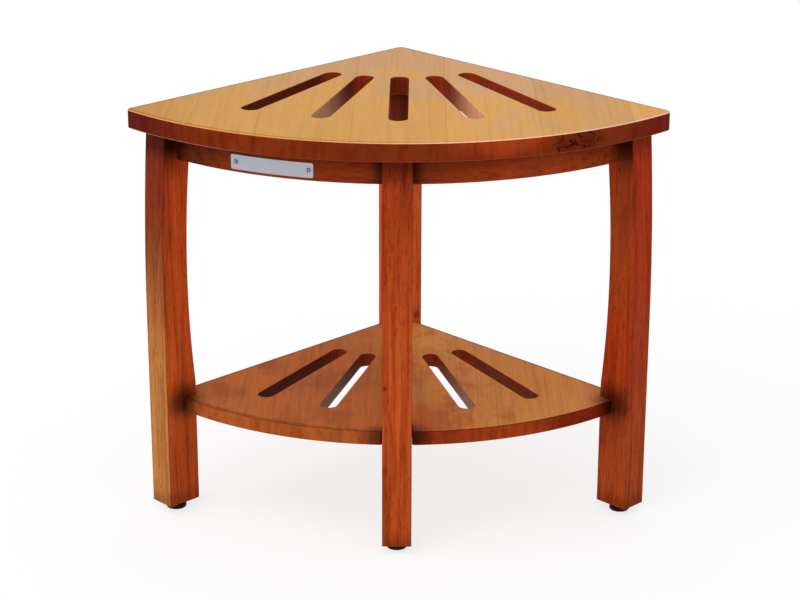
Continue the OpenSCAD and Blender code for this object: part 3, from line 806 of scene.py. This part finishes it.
def screw_head_with_highlight(name, out):
    """Steel with a painted highlight where it looks straight out, and a painted dark reflection and shade
    where it turns away, on the dome and in the socket.
    """
    f = Finish(name)
    mark = f.noise(f.place(), (2 / 3, 2 / 3, 2 / 3), 2.0)
    return f.done({
        # painted highlight facing out, painted dark reflection and shade elsewhere
        "Base Color": f.mix(f.facing(out, 0.90, 0.995), (0.02, 0.024, 0.03), (0.55, 0.57, 0.6)),
        "Roughness": 0.25 + mark * 0.2,
        "Normal": f.bump(mark, 0.2, 0.00005),
        "Metallic": 1.0})


def rubber(name):
    """Black moulded rubber with a fine texture and a little dust."""
    f = Finish(name)
    place = f.place()
    speck = f.noise(place, (1 / 3, 1 / 3, 1 / 3), 3.0, 0.6)
    dust = f.smooth(f.noise(place, (5, 5, 5), 3.0), 0.5, 0.8)
    return f.done({
        "Base Color": f.mix(dust * 0.3, (0.005, 0.005, 0.006), (0.03, 0.028, 0.027)),
        "Roughness": 0.5 + speck * 0.2,
        "Normal": f.bump(speck, 0.3, 0.0001),
        "Specular IOR Level": 0.12})


# Stain colours over the bench, with painted light and shade, with places and distances in millimetres


def inset_of(f, x, y, inset=0.0):
    """Distance from the bench's straight wall edges, set back by an inset."""
    return (MM * APEX - inset * math.sqrt(2) - abs(x) - y) * math.sqrt(0.5)


def wall_line(f, x, y, inset=0.0):
    """Mask of a line along a board's wall edges."""
    return f.fade(inset_of(f, x, y, inset), 1.0, 5.0) * 0.9


def front_line(f, x, y, centre, radius):
    """Mask of a line on a board's upper face, 2 to 5 mm inside its curved front: the distance from the centre
    of the arc is set against its radius. Both are given in metres, the centre from the rear corner."""
    away = f.reach(x, y, MM * (APEX - centre))
    edge = MM * radius
    return f.smooth(away, edge - 5.5, edge - 3.0) * f.fade(away, edge - 2.0, edge - 1.5)


def arris_line(f, walls, direction, fold=(0.15, 0.45), flat=(0.8, 0.98)):
    """Mask of a board's rounded arris towards a direction, without the slots."""
    lean = f.along(direction)
    return f.smooth(lean, *fold) * f.fade(lean, *flat) * (1 - walls)


def slot_walls(f, x, y, start, length, pale, dark, inset=0.0):
    """Mask of the slots' walls, and their colour, which is painted light and shade. The walls are darker at
    the left and lighter at the right; the colour fades from a reddish painted highlight at the far ends to
    dark, with fine ribs across the slot, and to the pale painted light of the second and fourth slot at their
    near ends. The slots' start, from the corner that they fan from, and their length are in metres."""
    first = MM * start
    last = MM * (start + length)
    away = f.reach(x, y, MM * APEX - inset * math.sqrt(2))
    inside = f.fade(away, last + 4, last + 12) * f.smooth(inset_of(f, x, y, inset), 4.0, 12.0)
    fan = abs(x) / away
    second = f.smooth(fan, 0.12, 0.2) * f.fade(fan, 0.32, 0.4)
    # painted highlight: reddish far ends of the walls
    far = f.fade(away, first + 4, first + 34) * (0.25 + f.smooth(fan, 0.05, 0.25) * 0.55)
    # painted light at the near ends, in a shaded copy at the left
    near = f.mix(f.smooth(x, -20.0, 20.0), shaded(pale, 0.72), pale)
    # painted shade and light: the walls darker at the left and lighter at the right
    wall = f.mix(f.smooth(x, -30.0, 90.0), shaded(dark, 0.8), shaded(dark, 1.7))
    wall = f.mix(far, wall, shaded(dark, 2.2))
    wall = f.mix(second * f.smooth(away, first + 30, last - 30), wall, near)
    ribs = f.noise(f.join(away, fan * 40, 0.0), (2.4, 30, 1), 2.0)
    return inside, f.tinted(wall, DARK_GRAIN, f.smooth(ribs, 0.45, 0.6) * 0.4)


def end_grain(f, bench, colour):
    """The colour with upright streaks and darker patches, as on the cut ends of the staves."""
    streaks = f.noise(bench, (7, 7, 40), 3.0, 0.6)
    patches = f.noise(bench, (24, 24, 30), 2.0)
    colour = f.tinted(colour, (0.72, 0.60, 0.58), f.smooth(streaks, 0.46, 0.66) * 0.7)
    return f.tinted(colour, (0.80, 0.70, 0.68), f.smooth(patches, 0.45, 0.65) * 0.7)


def seat_paint(f, bench):
    """Honey top, partly a painted sheen of the white surroundings, with pinker patches and a pinker painted
    sheen towards the back, a darker left tip, brown along the wall edges and in a line behind the left of the
    front.
    Red-brown end grain in front, with a burl at the right, a pale lower line at the left and a painted gold
    highlight on the upper arris. Slot walls in painted light and shade, with painted light at the near ends
    of two of them, and a brown lower face."""
    s = sizes()
    c = finishes()
    x, y = f.split(bench)[:2]
    cloud = f.noise(bench, (55, 80, 55), 3.0, 0.6)
    left_line = front_line(f, x, y, *seat_arc()) * f.fade(x, -60.0, 120.0)
    # pinker towards the back is a painted sheen; the cloud gives pinker patches
    top = f.mix(f.smooth(cloud + y * 0.0012 + x * 0.0004, 0.40, 0.62), c.honey, c.pink_patch_and_sheen)
    top = f.tinted(top, (0.84, 0.81, 0.9), f.fade(x, -275.0, -190.0))
    top = f.tinted(top, (0.45, 0.32, 0.26), wall_line(f, x, y))
    top = f.tinted(top, (0.62, 0.46, 0.36), left_line)
    bright_stave = f.near(bench, (108, -190, 460), (72, 60, 22), 0.3)
    edge = f.mix(bright_stave, c.edge_red, c.edge_bright)
    edge = f.tinted(edge, (0.48, 0.29, 0.31), f.fade(x, -285.0, -190.0))
    edge = f.tinted(edge, (0.72, 0.42, 0.42), f.smooth(x, 215.0, 285.0))
    edge = end_grain(f, bench, edge)
    swirl = f.noise(bench, (30, 30, 15), 1.5, 0.5)
    vein = f.fade(abs(f.math("FRACT", swirl * 7) - 0.5), 0.03, 0.17)
    burl = f.near(bench, (183, -159, 451), (38, 60, 26), 0.4)
    edge = f.tinted(edge, (0.72, 0.62, 0.58), burl)
    edge = f.tinted(edge, (0.27, 0.22, 0.2), vein * burl)
    walls, wall = slot_walls(f, x, y, s.seat_slot_start, s.seat_slot_length, c.slot_lit_pale, c.slot_dark)
    edge = f.mix(walls, edge, wall)
    lower_line = arris_line(f, walls, DOWN, (0.2, 0.5), (0.8, 0.97)) * f.fade(x, -200.0, -150.0)
    edge = f.mix(lower_line * 0.6, edge, (0.62, 0.36, 0.22))
    edge = f.mix(f.facing(DOWN), edge, c.under_brown)
    # painted highlight along the upper arris, gold at the left and paler pink at the right
    arris_highlight = f.mix(f.smooth(x, -120.0, 120.0), (0.80, 0.33, 0.09), (1.0, 0.62, 0.42))
    return f.mix(arris_line(f, walls, UP) * 0.9, f.mix(f.facing(UP, 0.6, 0.9), edge, top), arris_highlight)


def shelf_paint(f, bench):
    """Brown top with paler patches at the right, dark along the wall edges and in a line behind the left of
    the front. End grain that is tan at the left, a painted sheen of the light from the left, and red at the
    right, a dark upper arris, slot walls in painted light and shade, and a brown lower face."""
    s = sizes()
    c = finishes()
    x, y = f.split(bench)[:2]
    inset = MM * s.shelf_inset
    cloud = f.noise(bench, (42, 70, 42), 3.0, 0.6)
    left_line = front_line(f, x, y, *shelf_plan()[1:]) * f.fade(x, -90.0, 60.0)
    top = f.mix(f.smooth(cloud + x * 0.0022 + y * 0.001, 0.42, 0.68), c.shelf_brown, c.shelf_pale)
    top = f.tinted(top, (0.80, 0.77, 0.77), f.smooth(cloud - abs(x + 60) * 0.0009, 0.42, 0.6))
    top = f.tinted(top, (0.76, 0.66, 0.95), f.smooth(x, 185.0, 235.0))
    top = f.tinted(top, (1.1, 1.15, 1.1), f.near(bench, (-165, -50, 135), (60, 80, 40)))
    top = f.tinted(top, (0.45, 0.34, 0.28), wall_line(f, x, y, inset))
    top = f.tinted(top, (0.52, 0.42, 0.38), left_line)
    # painted sheen of the light from the left on the left half of the edge
    edge = f.mix(f.smooth(x, -30.0, 20.0), shaded(c.edge_sheen_tan, 1.1), shaded(c.edge_red, 1.3))
    edge = f.tinted(edge, (1.35, 1.4, 1.5), f.near(bench, (125, -165, 127), (80, 80, 80)))
    edge = f.tinted(edge, (0.74, 0.45, 0.35), f.smooth(x, 150.0, 195.0))
    edge = end_grain(f, bench, edge)
    walls, wall = slot_walls(f, x, y, s.shelf_slot_start, s.shelf_slot_length, shaded(c.slot_lit_pale, 0.45),
                             shaded(c.slot_dark, 0.7), inset)
    edge = f.mix(f.facing(DOWN), f.mix(walls, edge, wall), shaded(c.under_brown, 1.2))
    return f.tinted(f.mix(f.facing(UP, 0.6, 0.9), edge, top), LINE_TINT, arris_line(f, walls, UP))


def apron_paint(f, bench):
    """Dark brown with painted shade under the seat that lifts towards the redder lower edge, painted shade at
    the left end by the left leg, and paler at the right."""
    brown = finishes().apron_brown
    x, _, z = f.split(bench)
    # painted shade under the seat, lifting towards the lower edge
    colour = f.mix(f.smooth(z, 412.0, 434.0), shaded(brown, 1.35), shaded(brown, 0.85))
    # painted shade at the left end, by the left leg
    colour = f.tinted(colour, (0.42, 0.5, 0.65), f.fade(x, -228.0, -145.0))
    return f.tinted(colour, (1.3, 1.25, 1.25), f.smooth(x, 60.0, 120.0) * f.fade(x, 150.0, 215.0))


def sheen_and_shade_face(f, z, colour):
    """The outer face of the left leg: tan below, a painted sheen of the light from the left, and darker red
    above, painted shade under the seat.
    """
    c = finishes()
    outer = f.mix(f.smooth(z, 120.0, 380.0), shaded(c.leg_sheen_tan, 1.1), shaded(c.leg_red, 0.62))
    return f.mix(f.facing(FRONT_LEFT), colour, outer)


def brown_face(f, z, colour):
    """The upper left face of the right leg, browner."""
    return f.tinted(colour, (1.0, 1.55, 1.6), f.facing(FRONT_LEFT) * f.smooth(z, 210.0, 330.0))


def shaded_ends(f, z, colour):
    """The rear leg, with painted shade at its upper end under the seat, which only shows through the slots,
    and painted shade at and below the shelf.
    """
    # painted shade under the seat
    colour = f.tinted(colour, (0.25, 0.24, 0.24), f.smooth(z, 318.0, 385.0))
    # painted shade at and below the shelf
    return f.tinted(colour, (0.82, 0.72, 0.72), f.fade(z, 142.0, 172.0))


# Painted shade at the joints, for the right half of the bench

LEG_TOP_SHADE = (((243, -92, 440), (28, 28, 66), 1.0), ((15, -166, 436), (17, 30, 64), 1.0))
SHELF_JOINT_SHADE = (((238, -88, 132), (34, 34, 32), 0.9), ((18, -180, 128), (26, 28, 22), 0.75))

# Looks of the four legs, as leg_wood takes them

SLANTED = (FRONT_LEFT, FRONT_RIGHT, UP)
LEG_LOOKS = {
    "left": {"tones": (0.85, 1.12, 1.5), "mark": sheen_and_shade_face, "red": 0.95, "shade": 1.6, "clear": FRONT_LEFT},
    "right": {"tones": (0.8, 0.74, 1.05), "mark": brown_face, "red": 0.7, "line": 0.3, "shade": 0.6,
              "clear": FRONT_RIGHT},
    "front": {"tones": (1.0, 1.0, 1.0), "faces": (FRONT, RIGHT, UP), "line": 0.6, "clear": FRONT,
              "knots": (((-13, -199, 192), (4, 8, 6)),)},
    "back": {"tones": (1.1, 1.3, 1.8), "mark": shaded_ends, "line": 0.5,
             "knots": (((20, 162, 143), (9, 9, 10)),)},
}


def leg_wood(name, tones, faces=SLANTED, mark=None, red=1.0, line=1.0, shade=1.0, clear=None, knots=()):
    """Wood of a leg: brown at the foot, orange in the middle and red at the top, each as light as its tone.
    Lines along the arrises between its faces, the lowest end and the shaded part under the seat are darker. A
    lower share of red leaves less green and blue above the foot. A mark function paints what only one leg
    has."""
    c = finishes()
    low, middle, high = tones

    def paint(f, bench):
        z = f.split(bench)[2]
        colour = f.mix(f.smooth(z, 60.0, 160.0), shaded(c.leg_brown, low), shaded(c.leg_orange, middle))
        colour = f.mix(f.smooth(z, 190.0, 400.0), colour, shaded(c.leg_red, high))
        colour = f.tinted(colour, (1.0, red, red), f.smooth(z, 90.0, 170.0))
        if mark:
            colour = mark(f, z, colour)
        colour = f.tinted(colour, (0.42, 0.36, 0.34), f.smooth(z, 402.0, 436.0) * shade)
        colour = f.tinted(colour, (0.66, 0.55, 0.55), f.fade(z, 9.0, 34.0))
        return f.tinted(colour, LINE_TINT, f.arris(*faces) * line)

    return wood(name, paint, turn=(math.radians(90), 0, 0), ring=15.0, figure=0.45, fleck=0.6, stripe=0.55,
                joint_shade=LEG_TOP_SHADE + SHELF_JOINT_SHADE, clear=clear, knots=knots)


def dress(material, *nodes):
    """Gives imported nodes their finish."""
    for name in nodes:
        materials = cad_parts[name].data.materials
        materials.clear()
        materials.append(material)


def place_piece(piece, body, slot, *nodes):
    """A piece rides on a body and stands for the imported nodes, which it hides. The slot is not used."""
    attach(piece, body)
    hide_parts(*nodes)


# Stage


def floor_piece():
    """Round pale floor under the bench, a disc whose rings widen outward."""
    size = 9.0
    radius = size * np.linspace(0, 1, 13)[1:] ** 2
    shell = Shell()
    grid = shell.add(lathe(np.stack([radius, 0 * radius], 1), (0, 0), 64))
    shell.skin(grid)
    shell.face(grid[0])
    f = Finish("floor_white")
    glow = finishes().floor
    tone = f.smooth(f.noise(f.place(), (900, 900, 900), 1.0), 0.2, 0.8)
    material = f.done({
        "Base Color": f.mix(tone, (0.94 * (1 - glow),) * 3, (0.96 * (1 - glow),) * 3),
        "Roughness": 0.9,
        "Specular IOR Level": 0.0,
        "Emission Color": (1.0, 1.0, 1.0, 1.0),
        "Emission Strength": glow})
    shell.piece("floor", material)


def add_light(name, kind, turn, **settings):
    """A lamp of a kind, turned by its Euler angles."""
    lamp = bpy.data.lights.new(name, kind)
    for key, value in settings.items():
        setattr(lamp, key, value)
    light = bpy.data.objects.new(name, lamp)
    light.rotation_euler = turn
    bpy.context.scene.collection.objects.link(light)
    return light


def soft_light():
    """White surroundings, a broad light from above and a low one from the left."""
    world = bpy.data.worlds.new("surroundings")
    world.use_nodes = True
    background = world.node_tree.nodes["Background"].inputs
    background["Color"].default_value = (1.0, 1.0, 1.0, 1.0)
    background["Strength"].default_value = 0.8
    bpy.context.scene.world = world
    add_light("key", "SUN", (math.radians(35), 0, math.radians(-40)), energy=1.0, angle=math.radians(60))
    place = Vector((-2.2, -0.4, 0.45))
    target = Vector((0.0, 0.0, 0.3))
    turn = (target - place).to_track_quat("-Z", "Y").to_euler()
    left = add_light("left", "AREA", turn, energy=9.0, shape="RECTANGLE", size=1.6, size_y=0.9)
    left.location = place
    left.visible_glossy = False


def camera():
    """Camera at the photograph's place. It is turned to the left, downward and about its own axis. Its place
    is in metres from the rear corner at the legs' lower end, and its focal length in pixels of the frame."""
    azimuth = math.radians(0.478)
    pitch = math.radians(19.709)
    roll = math.radians(0.137)
    right, in_front, above = 0.0215, 2.6274, 1.0765
    focal_length = 2276.7
    frame_width = 800
    lens = bpy.data.cameras.new("camera")
    lens.sensor_fit = "HORIZONTAL"
    lens.sensor_width = 36.0
    lens.lens = focal_length / frame_width * lens.sensor_width
    view = bpy.data.objects.new("camera", lens)
    turned = (Matrix.Rotation(azimuth, 4, "Z") @ Matrix.Rotation(math.pi / 2 - pitch, 4, "X")
              @ Matrix.Rotation(roll, 4, "Z"))
    view.matrix_world = Matrix.Translation((right, APEX - in_front, LEG_LOW[2] + above)) @ turned
    bpy.context.scene.collection.objects.link(view)
    bpy.context.scene.camera = view
    bpy.context.scene.view_settings.view_transform = "Standard"


# Operators, one for each piece or group of like pieces


class BENCH_OT_seat(bpy.types.Operator):
    """Seat board: quarter round, rounded edges, five slots in a fan"""

    bl_idname = "bench.seat"
    bl_label = "Seat"

    def execute(self, context):
        s = sizes()
        slots = slot_fan(0, s.seat_slot_step, s.seat_slot_start, s.seat_slot_length, s.seat_slot_width)
        shell = board_shell(seat_outline(), slots, SEAT_LOW[2], SEAT_HIGH[2], s.seat_edge, s.slot_edge)
        finish = wood("seat_wood", seat_paint, stave=98.0, seam=50.0, figure=0.07, fleck=0.04, stripe=0.12)
        place_piece(shell.piece("seat_board", finish), BODY, "seat_wood", "seat_top")
        return {"FINISHED"}


class BENCH_OT_shelf(bpy.types.Operator):
    """Shelf board: cut round the legs, with slots above and screw pockets below"""

    bl_idname = "bench.shelf"
    bl_label = "Shelf"

    def execute(self, context):
        s = sizes()
        low, high = SHELF_LOW[2], SHELF_HIGH[2]
        slots = slot_fan(shelf_plan()[0], s.shelf_slot_step, s.shelf_slot_start, s.shelf_slot_length,
                         s.shelf_slot_width)
        side = side_point(side_reach() - LEG_WIDTH, (s.shelf_inset + WALL_GAP + LEG_THICKNESS) / 2)
        rear = side_point(WALL_GAP + REAR_LEG, WALL_GAP + REAR_LEG / 2)
        # Where screws run into the front, side and rear legs, and their turns
        joints = [((0, APEX - FRONT_REACH + LEG_WIDTH), FRONT_TURN)]
        for flip in (1, -1):
            joints.append(((flip * side[0], side[1] + APEX), FRONT_TURN + flip * 45))
            joints.append(((flip * rear[0], rear[1] + APEX), 90 + flip * 45))
        pockets = [pocket_patch((*plan, (low + high) / 2), turn, high - low) for plan, turn in joints]
        shell = board_shell(shelf_outline(), slots, low, high, s.shelf_edge, s.slot_edge, pockets)
        finish = wood("shelf_wood", shelf_paint, stave=98.0, seam=-10.0, figure=0.16, fleck=0.1, stripe=0.24,
                      joint_shade=SHELF_JOINT_SHADE)
        place_piece(shell.piece("shelf_board", finish), BODY, "shelf_wood", "shelf")
        return {"FINISHED"}


class BENCH_OT_legs(bpy.types.Operator):
    """Four legs: three with a bowed outer face and an arched inner face, one square post"""

    bl_idname = "bench.legs"
    bl_label = "Legs"

    def execute(self, context):
        s = sizes()
        height, inset = leg_levels(LEG_LOW[2], LEG_HIGH[2], s.leg_edge)
        up = height - LEG_LOW[2]
        bow = s.bow_radius - np.sqrt(s.bow_radius ** 2 - np.maximum(up - s.bow_start, 0) ** 2)
        arch = np.sqrt(s.arch_radius ** 2 - (up - s.arch_height) ** 2) - s.arch_radius + s.arch_depth
        inward = np.maximum(arch, 0) - LEG_WIDTH
        reach = side_reach()
        beside = -(WALL_GAP + LEG_THICKNESS / 2)
        post = np.full(len(height), WALL_GAP)
        for name, inner, outer, middle, thickness, turn in (
                ("left", reach + inward, reach - bow, beside, LEG_THICKNESS, SIDE_TURN),
                ("right", reach + inward, reach - bow, beside, LEG_THICKNESS, SIDE_TURN),
                ("front", FRONT_REACH + inward, FRONT_REACH - bow, 0.0, LEG_THICKNESS, FRONT_TURN),
                ("back", post, post + REAR_LEG, -(WALL_GAP + REAR_LEG / 2), REAR_LEG, SIDE_TURN)):
            shell = leg_shell(inner, outer, middle, thickness / 2, turn, name == "left", height, inset)
            finish = leg_wood(name + "_leg_wood", **LEG_LOOKS[name])
            place_piece(shell.piece(name + "_leg_wood", finish), BODY, "leg_wood", name + "_leg")
        return {"FINISHED"}


class BENCH_OT_aprons(bpy.types.Operator):
    """Finish of the four aprons and of the dowels and screws inside them"""

    bl_idname = "bench.aprons"
    bl_label = "Aprons"

    def execute(self, context):
        for name, turn, nodes in (("apron_wood", 90, ("left_front_apron", "right_front_apron")),
                                  ("left_wall_apron_wood", 45, ("left_back_apron",)),
                                  ("right_wall_apron_wood", -45, ("right_back_apron",))):
            lengthwise = (0, 0, math.radians(turn))
            dress(wood(name, apron_paint, turn=lengthwise, ring=9.0, figure=0.35, fleck=0.3,
                       joint_shade=LEG_TOP_SHADE), *nodes)
        dress(wood("dowel_wood", lambda f, bench: (0.56, 0.38, 0.19)), "apron_dowels")
        dress(metal("screw_steel", (0.55, 0.56, 0.58), 0.3), "apron_screws", "shelf_screws", "seat_screws")
        return {"FINISHED"}


class BENCH_OT_plate(bpy.types.Operator):
    """Bare metal plate on the left curved apron, with its two screws"""

    bl_idname = "bench.plate"
    bl_label = "Plate"

    def execute(self, context):
        dress(metal("plate_steel", finishes().steel, 0.38), "bare_plate")
        turns, height = plate_screw_places()
        shell = Shell()
        for turn in turns:
            shell.rod(plate_screw(turn, height))
        middle = math.radians(sum(turns) / 2)
        finish = screw_head_with_highlight("plate_screw_steel", (-math.sin(middle), -math.cos(middle), 0.0))
        place_piece(shell.piece("plate_button_screws", finish), BODY, "screw_steel", "plate_screws")
        return {"FINISHED"}


class BENCH_OT_feet(bpy.types.Operator):
    """Four screw-in feet: black pads, threaded studs and brass inserts"""

    bl_idname = "bench.feet"
    bl_label = "Feet"

    def execute(self, context):
        s = sizes()
        black = rubber("pad_rubber")
        zinc = metal("stud_steel", (0.6, 0.6, 0.62), 0.28)
        for foot in FEET:
            low, high = size_of(foot + "_pad")
            stud = size_of(foot + "_stud")
            bore = (stud[1][0] - stud[0][0]) / 2 + STUD_GAP
            profile = pad_profile((high[0] - low[0]) / 2, high[2] - low[2], bore)
            pad = lathe(profile, (low + high) / 2, 64) + (0, 0, low[2])
            thread = threaded(stud, s.thread_pitch, s.thread_depth)
            for grid, name, finish, slot, node in ((pad, "_rubber", black, "pad_rubber", "_pad"),
                                                   (thread, "_thread", zinc, "stud_steel", "_stud")):
                shell = Shell()
                shell.rod(grid)
                place_piece(shell.piece(foot + name, finish), foot, slot, foot + node)
        dress(metal("insert_brass", (0.7, 0.52, 0.22), 0.3), "foot_inserts")
        return {"FINISHED"}


class BENCH_OT_stage(bpy.types.Operator):
    """Pale floor, soft light and the camera"""

    bl_idname = "bench.stage"
    bl_label = "Stage"

    def execute(self, context):
        floor_piece()
        soft_light()
        camera()
        return {"FINISHED"}


class BENCH_PT_panel(bpy.types.Panel):
    """Sidebar panel with the pieces and their settings"""

    bl_label = "Corner shower bench"
    bl_idname = "BENCH_PT_panel"
    bl_space_type = "VIEW_3D"
    bl_region_type = "UI"
    bl_category = "Bench"

    def draw(self, context):
        for operator in OPERATORS:
            self.layout.operator(operator.bl_idname)
        for group in (context.scene.bench_sizes, context.scene.bench_finish):
            column = self.layout.column()
            for name in group.__annotations__:
                column.prop(group, name)


OPERATORS = (BENCH_OT_seat, BENCH_OT_shelf, BENCH_OT_legs, BENCH_OT_aprons, BENCH_OT_plate, BENCH_OT_feet,
             BENCH_OT_stage)
CLASSES = (BenchSizes, BenchFinish) + OPERATORS + (BENCH_PT_panel,)


def register():
    for cls in CLASSES:
        bpy.utils.register_class(cls)
    bpy.types.Scene.bench_sizes = bpy.props.PointerProperty(type=BenchSizes)
    bpy.types.Scene.bench_finish = bpy.props.PointerProperty(type=BenchFinish)


def unregister():
    del bpy.types.Scene.bench_finish
    del bpy.types.Scene.bench_sizes
    for cls in reversed(CLASSES):
        bpy.utils.unregister_class(cls)


def main():
    """Registers the classes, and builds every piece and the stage."""
    register()
    bpy.ops.bench.seat()
    bpy.ops.bench.shelf()
    bpy.ops.bench.legs()
    bpy.ops.bench.aprons()
    bpy.ops.bench.plate()
    bpy.ops.bench.feet()
    bpy.ops.bench.stage()


if __name__ == "__main__":
    main()
